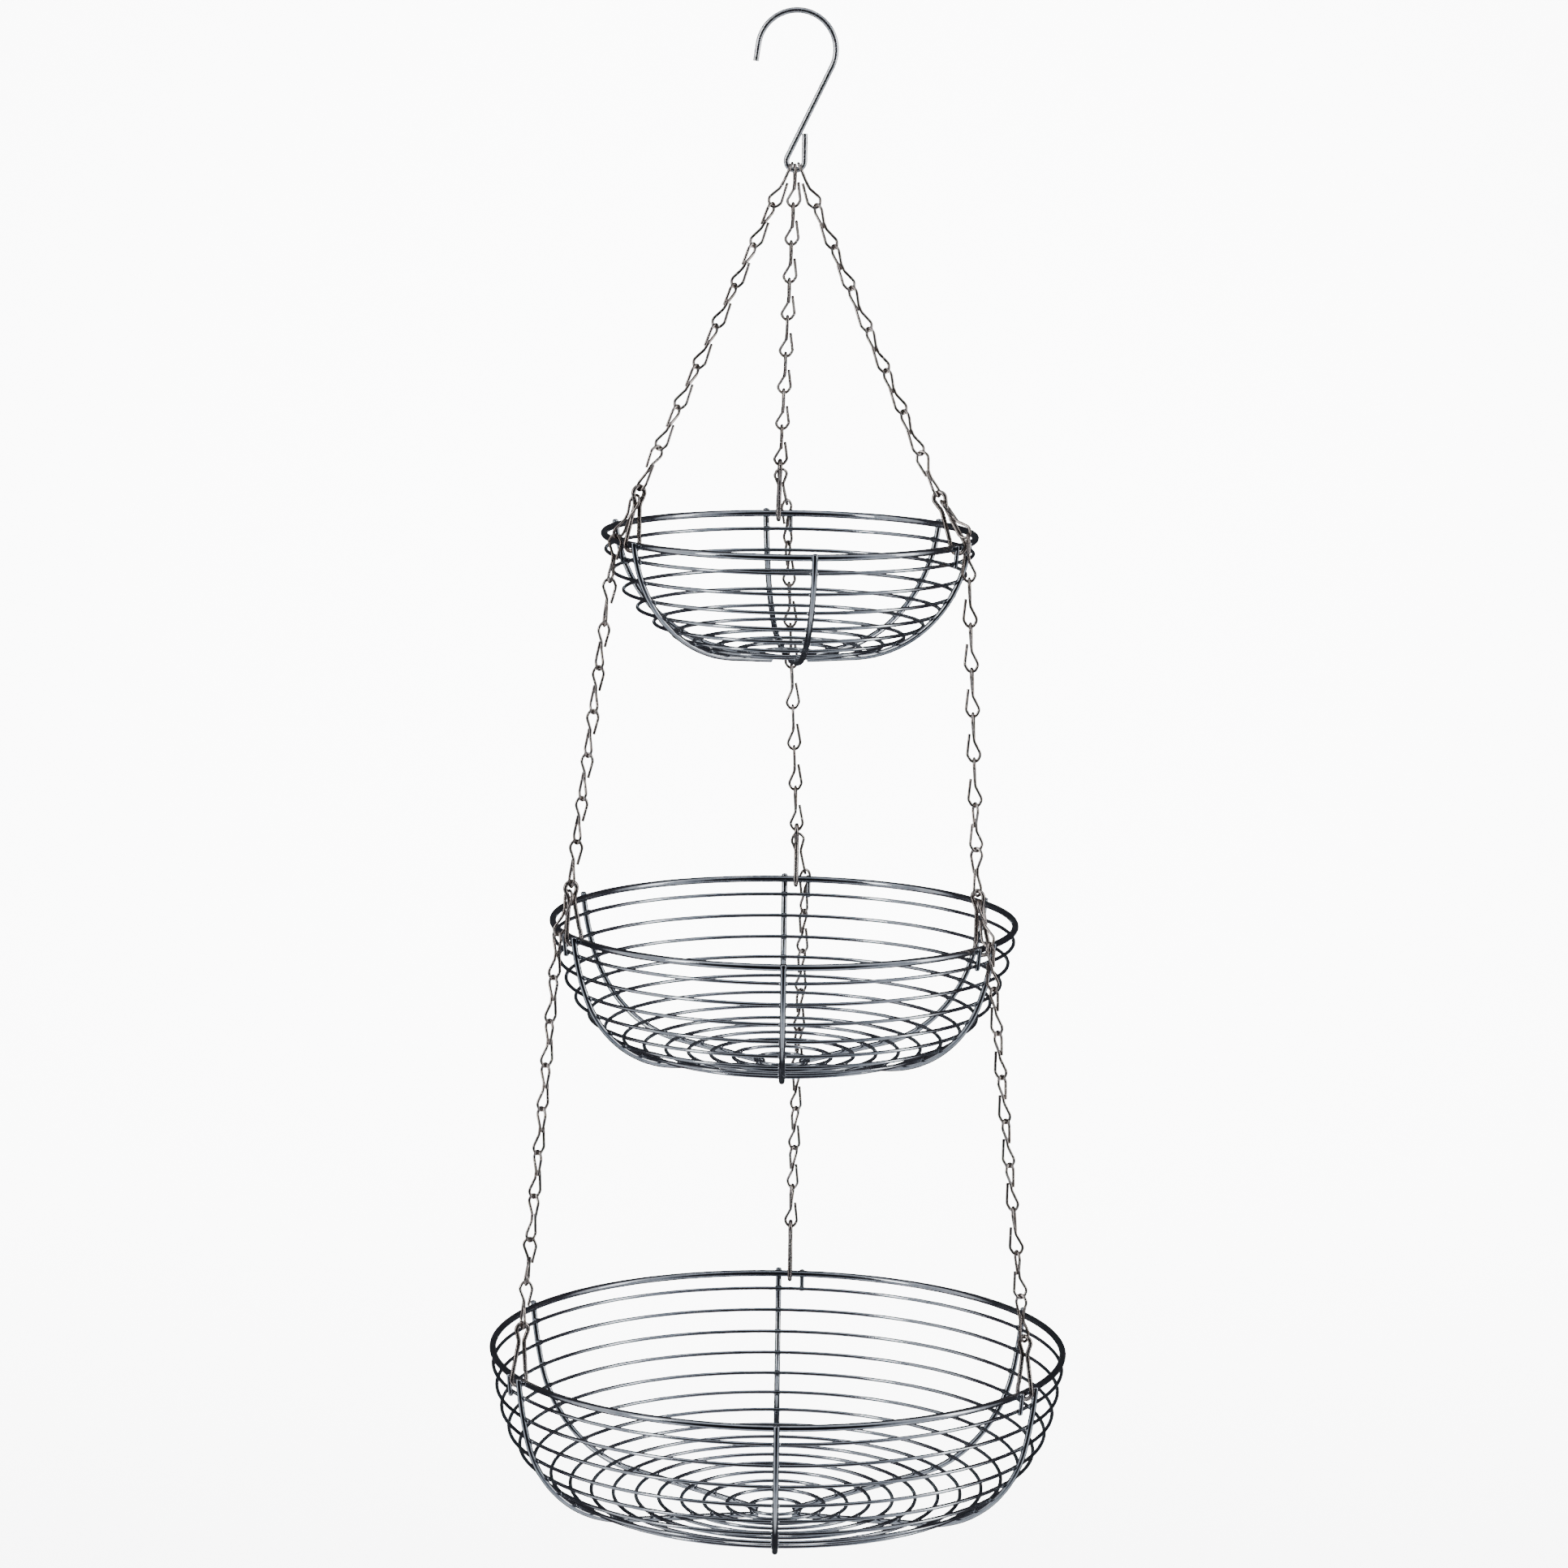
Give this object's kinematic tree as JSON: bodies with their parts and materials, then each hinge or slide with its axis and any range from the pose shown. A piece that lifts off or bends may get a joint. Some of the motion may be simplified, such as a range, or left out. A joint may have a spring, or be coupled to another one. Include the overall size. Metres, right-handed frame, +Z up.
{
  "type": "three-tier hanging wire basket",
  "caption": "Hanging produce basket: round wire bowls of growing size, one below the other on jack chains from an S-shaped hook.",
  "frame": {"origin": "inside top of the hook's big bend, where it bears on what carries it", "axes": "+Z up along the hanging direction, -Y the front, +X to the right seen from the front"},
  "size_m": [0.305, 0.3112, 0.794],
  "materials": {
    "bright_chrome": "bright chrome plate on welded steel wire",
    "nickel_wire": "dull nickel plate on formed wire",
    "drawn_steel": "drawn bright steel wire with sheared ends"
  },
  "bodies": {
    "hook": {"ceiling_hook": "drawn_steel"},
    "upper_tier": {"upper_chain_back": "nickel_wire", "upper_chain_left": "nickel_wire", "upper_chain_right": "nickel_wire", "upper_floor_rings": "bright_chrome", "upper_hanger_back": "nickel_wire", "upper_hanger_left": "nickel_wire", "upper_hanger_right": "nickel_wire", "upper_rib_back": "bright_chrome", "upper_rib_front": "bright_chrome", "upper_rib_left_back": "bright_chrome", "upper_rib_left_front": "bright_chrome", "upper_rib_right_back": "bright_chrome", "upper_rib_right_front": "bright_chrome", "upper_rim": "bright_chrome", "upper_side_rings": "bright_chrome", "upper_stop_wires": "bright_chrome"},
    "middle_tier": {"middle_floor_rings": "bright_chrome", "middle_hanger_back": "nickel_wire", "middle_hanger_left": "nickel_wire", "middle_hanger_right": "nickel_wire", "middle_rib_back": "bright_chrome", "middle_rib_front": "bright_chrome", "middle_rib_left_back": "bright_chrome", "middle_rib_left_front": "bright_chrome", "middle_rib_right_back": "bright_chrome", "middle_rib_right_front": "bright_chrome", "middle_rim": "bright_chrome", "middle_side_rings": "bright_chrome", "middle_stop_wires": "bright_chrome"},
    "middle_run_left": {"middle_chain_left": "nickel_wire"},
    "middle_run_right": {"middle_chain_right": "nickel_wire"},
    "middle_run_back": {"middle_chain_back": "nickel_wire"},
    "lower_tier": {"lower_floor_rings": "bright_chrome", "lower_hanger_back": "nickel_wire", "lower_hanger_left": "nickel_wire", "lower_hanger_right": "nickel_wire", "lower_rib_back": "bright_chrome", "lower_rib_front": "bright_chrome", "lower_rib_left_back": "bright_chrome", "lower_rib_left_front": "bright_chrome", "lower_rib_right_back": "bright_chrome", "lower_rib_right_front": "bright_chrome", "lower_rim": "bright_chrome", "lower_side_rings": "bright_chrome", "lower_stop_wires": "bright_chrome"},
    "lower_run_left": {"lower_chain_left": "nickel_wire"},
    "lower_run_right": {"lower_chain_right": "nickel_wire"},
    "lower_run_back": {"lower_chain_back": "nickel_wire"}
  },
  "joints": [
    {"name": "whole_swing", "type": "hinge", "parent": "hook", "child": "upper_tier", "pos_m": [0, 0, -0.0793], "axis": [1, 0, 0], "range_deg": [-12, 12]},
    {"name": "middle_sway", "type": "hinge", "parent": "upper_tier", "child": "middle_tier", "pos_m": [0, 0, 0.23207], "axis": [0, 1, 0], "range_deg": [-0.59, 0.59]},
    {"name": "middle_chain_left_swing", "type": "hinge", "parent": "upper_tier", "child": "middle_run_left", "pos_m": [-0.07628, -0.05087, -0.24138], "axis": [0, 1, 0], "range_deg": [-2.5, 2.5]},
    {"name": "middle_chain_right_swing", "type": "hinge", "parent": "upper_tier", "child": "middle_run_right", "pos_m": [0.07576, -0.03744, -0.24335], "axis": [0, 1, 0], "range_deg": [-2.5, 2.5]},
    {"name": "middle_chain_back_swing", "type": "hinge", "parent": "upper_tier", "child": "middle_run_back", "pos_m": [-0.0057, 0.08805, -0.24204], "axis": [0, 1, 0], "range_deg": [-2.5, 2.5]},
    {"name": "lower_sway", "type": "hinge", "parent": "middle_tier", "child": "lower_tier", "pos_m": [0, 0, 0.44485], "axis": [1, 0, 0], "range_deg": [-0.61, 0.61]},
    {"name": "lower_chain_left_swing", "type": "hinge", "parent": "middle_tier", "child": "lower_run_left", "pos_m": [-0.10852, -0.05542, -0.4444], "axis": [1, 0, 0], "range_deg": [-3.5, 3.5]},
    {"name": "lower_chain_right_swing", "type": "hinge", "parent": "middle_tier", "child": "lower_run_right", "pos_m": [0.09821, -0.06364, -0.44443], "axis": [1, 0, 0], "range_deg": [-3.5, 3.5]},
    {"name": "lower_chain_back_swing", "type": "hinge", "parent": "middle_tier", "child": "lower_run_back", "pos_m": [0.00613, 0.11906, -0.4443], "axis": [1, 0, 0], "range_deg": [-3.5, 3.5]}
  ],
  "couplings": [
    {"joint": "middle_chain_left_swing", "follows": "middle_sway", "ratio": 3.366},
    {"joint": "middle_chain_right_swing", "follows": "middle_sway", "ratio": 3.366},
    {"joint": "middle_chain_back_swing", "follows": "middle_sway", "ratio": 3.366},
    {"joint": "lower_chain_left_swing", "follows": "lower_sway", "ratio": 4.905},
    {"joint": "lower_chain_right_swing", "follows": "lower_sway", "ratio": 4.905},
    {"joint": "lower_chain_back_swing", "follows": "lower_sway", "ratio": 4.905}
  ]
}
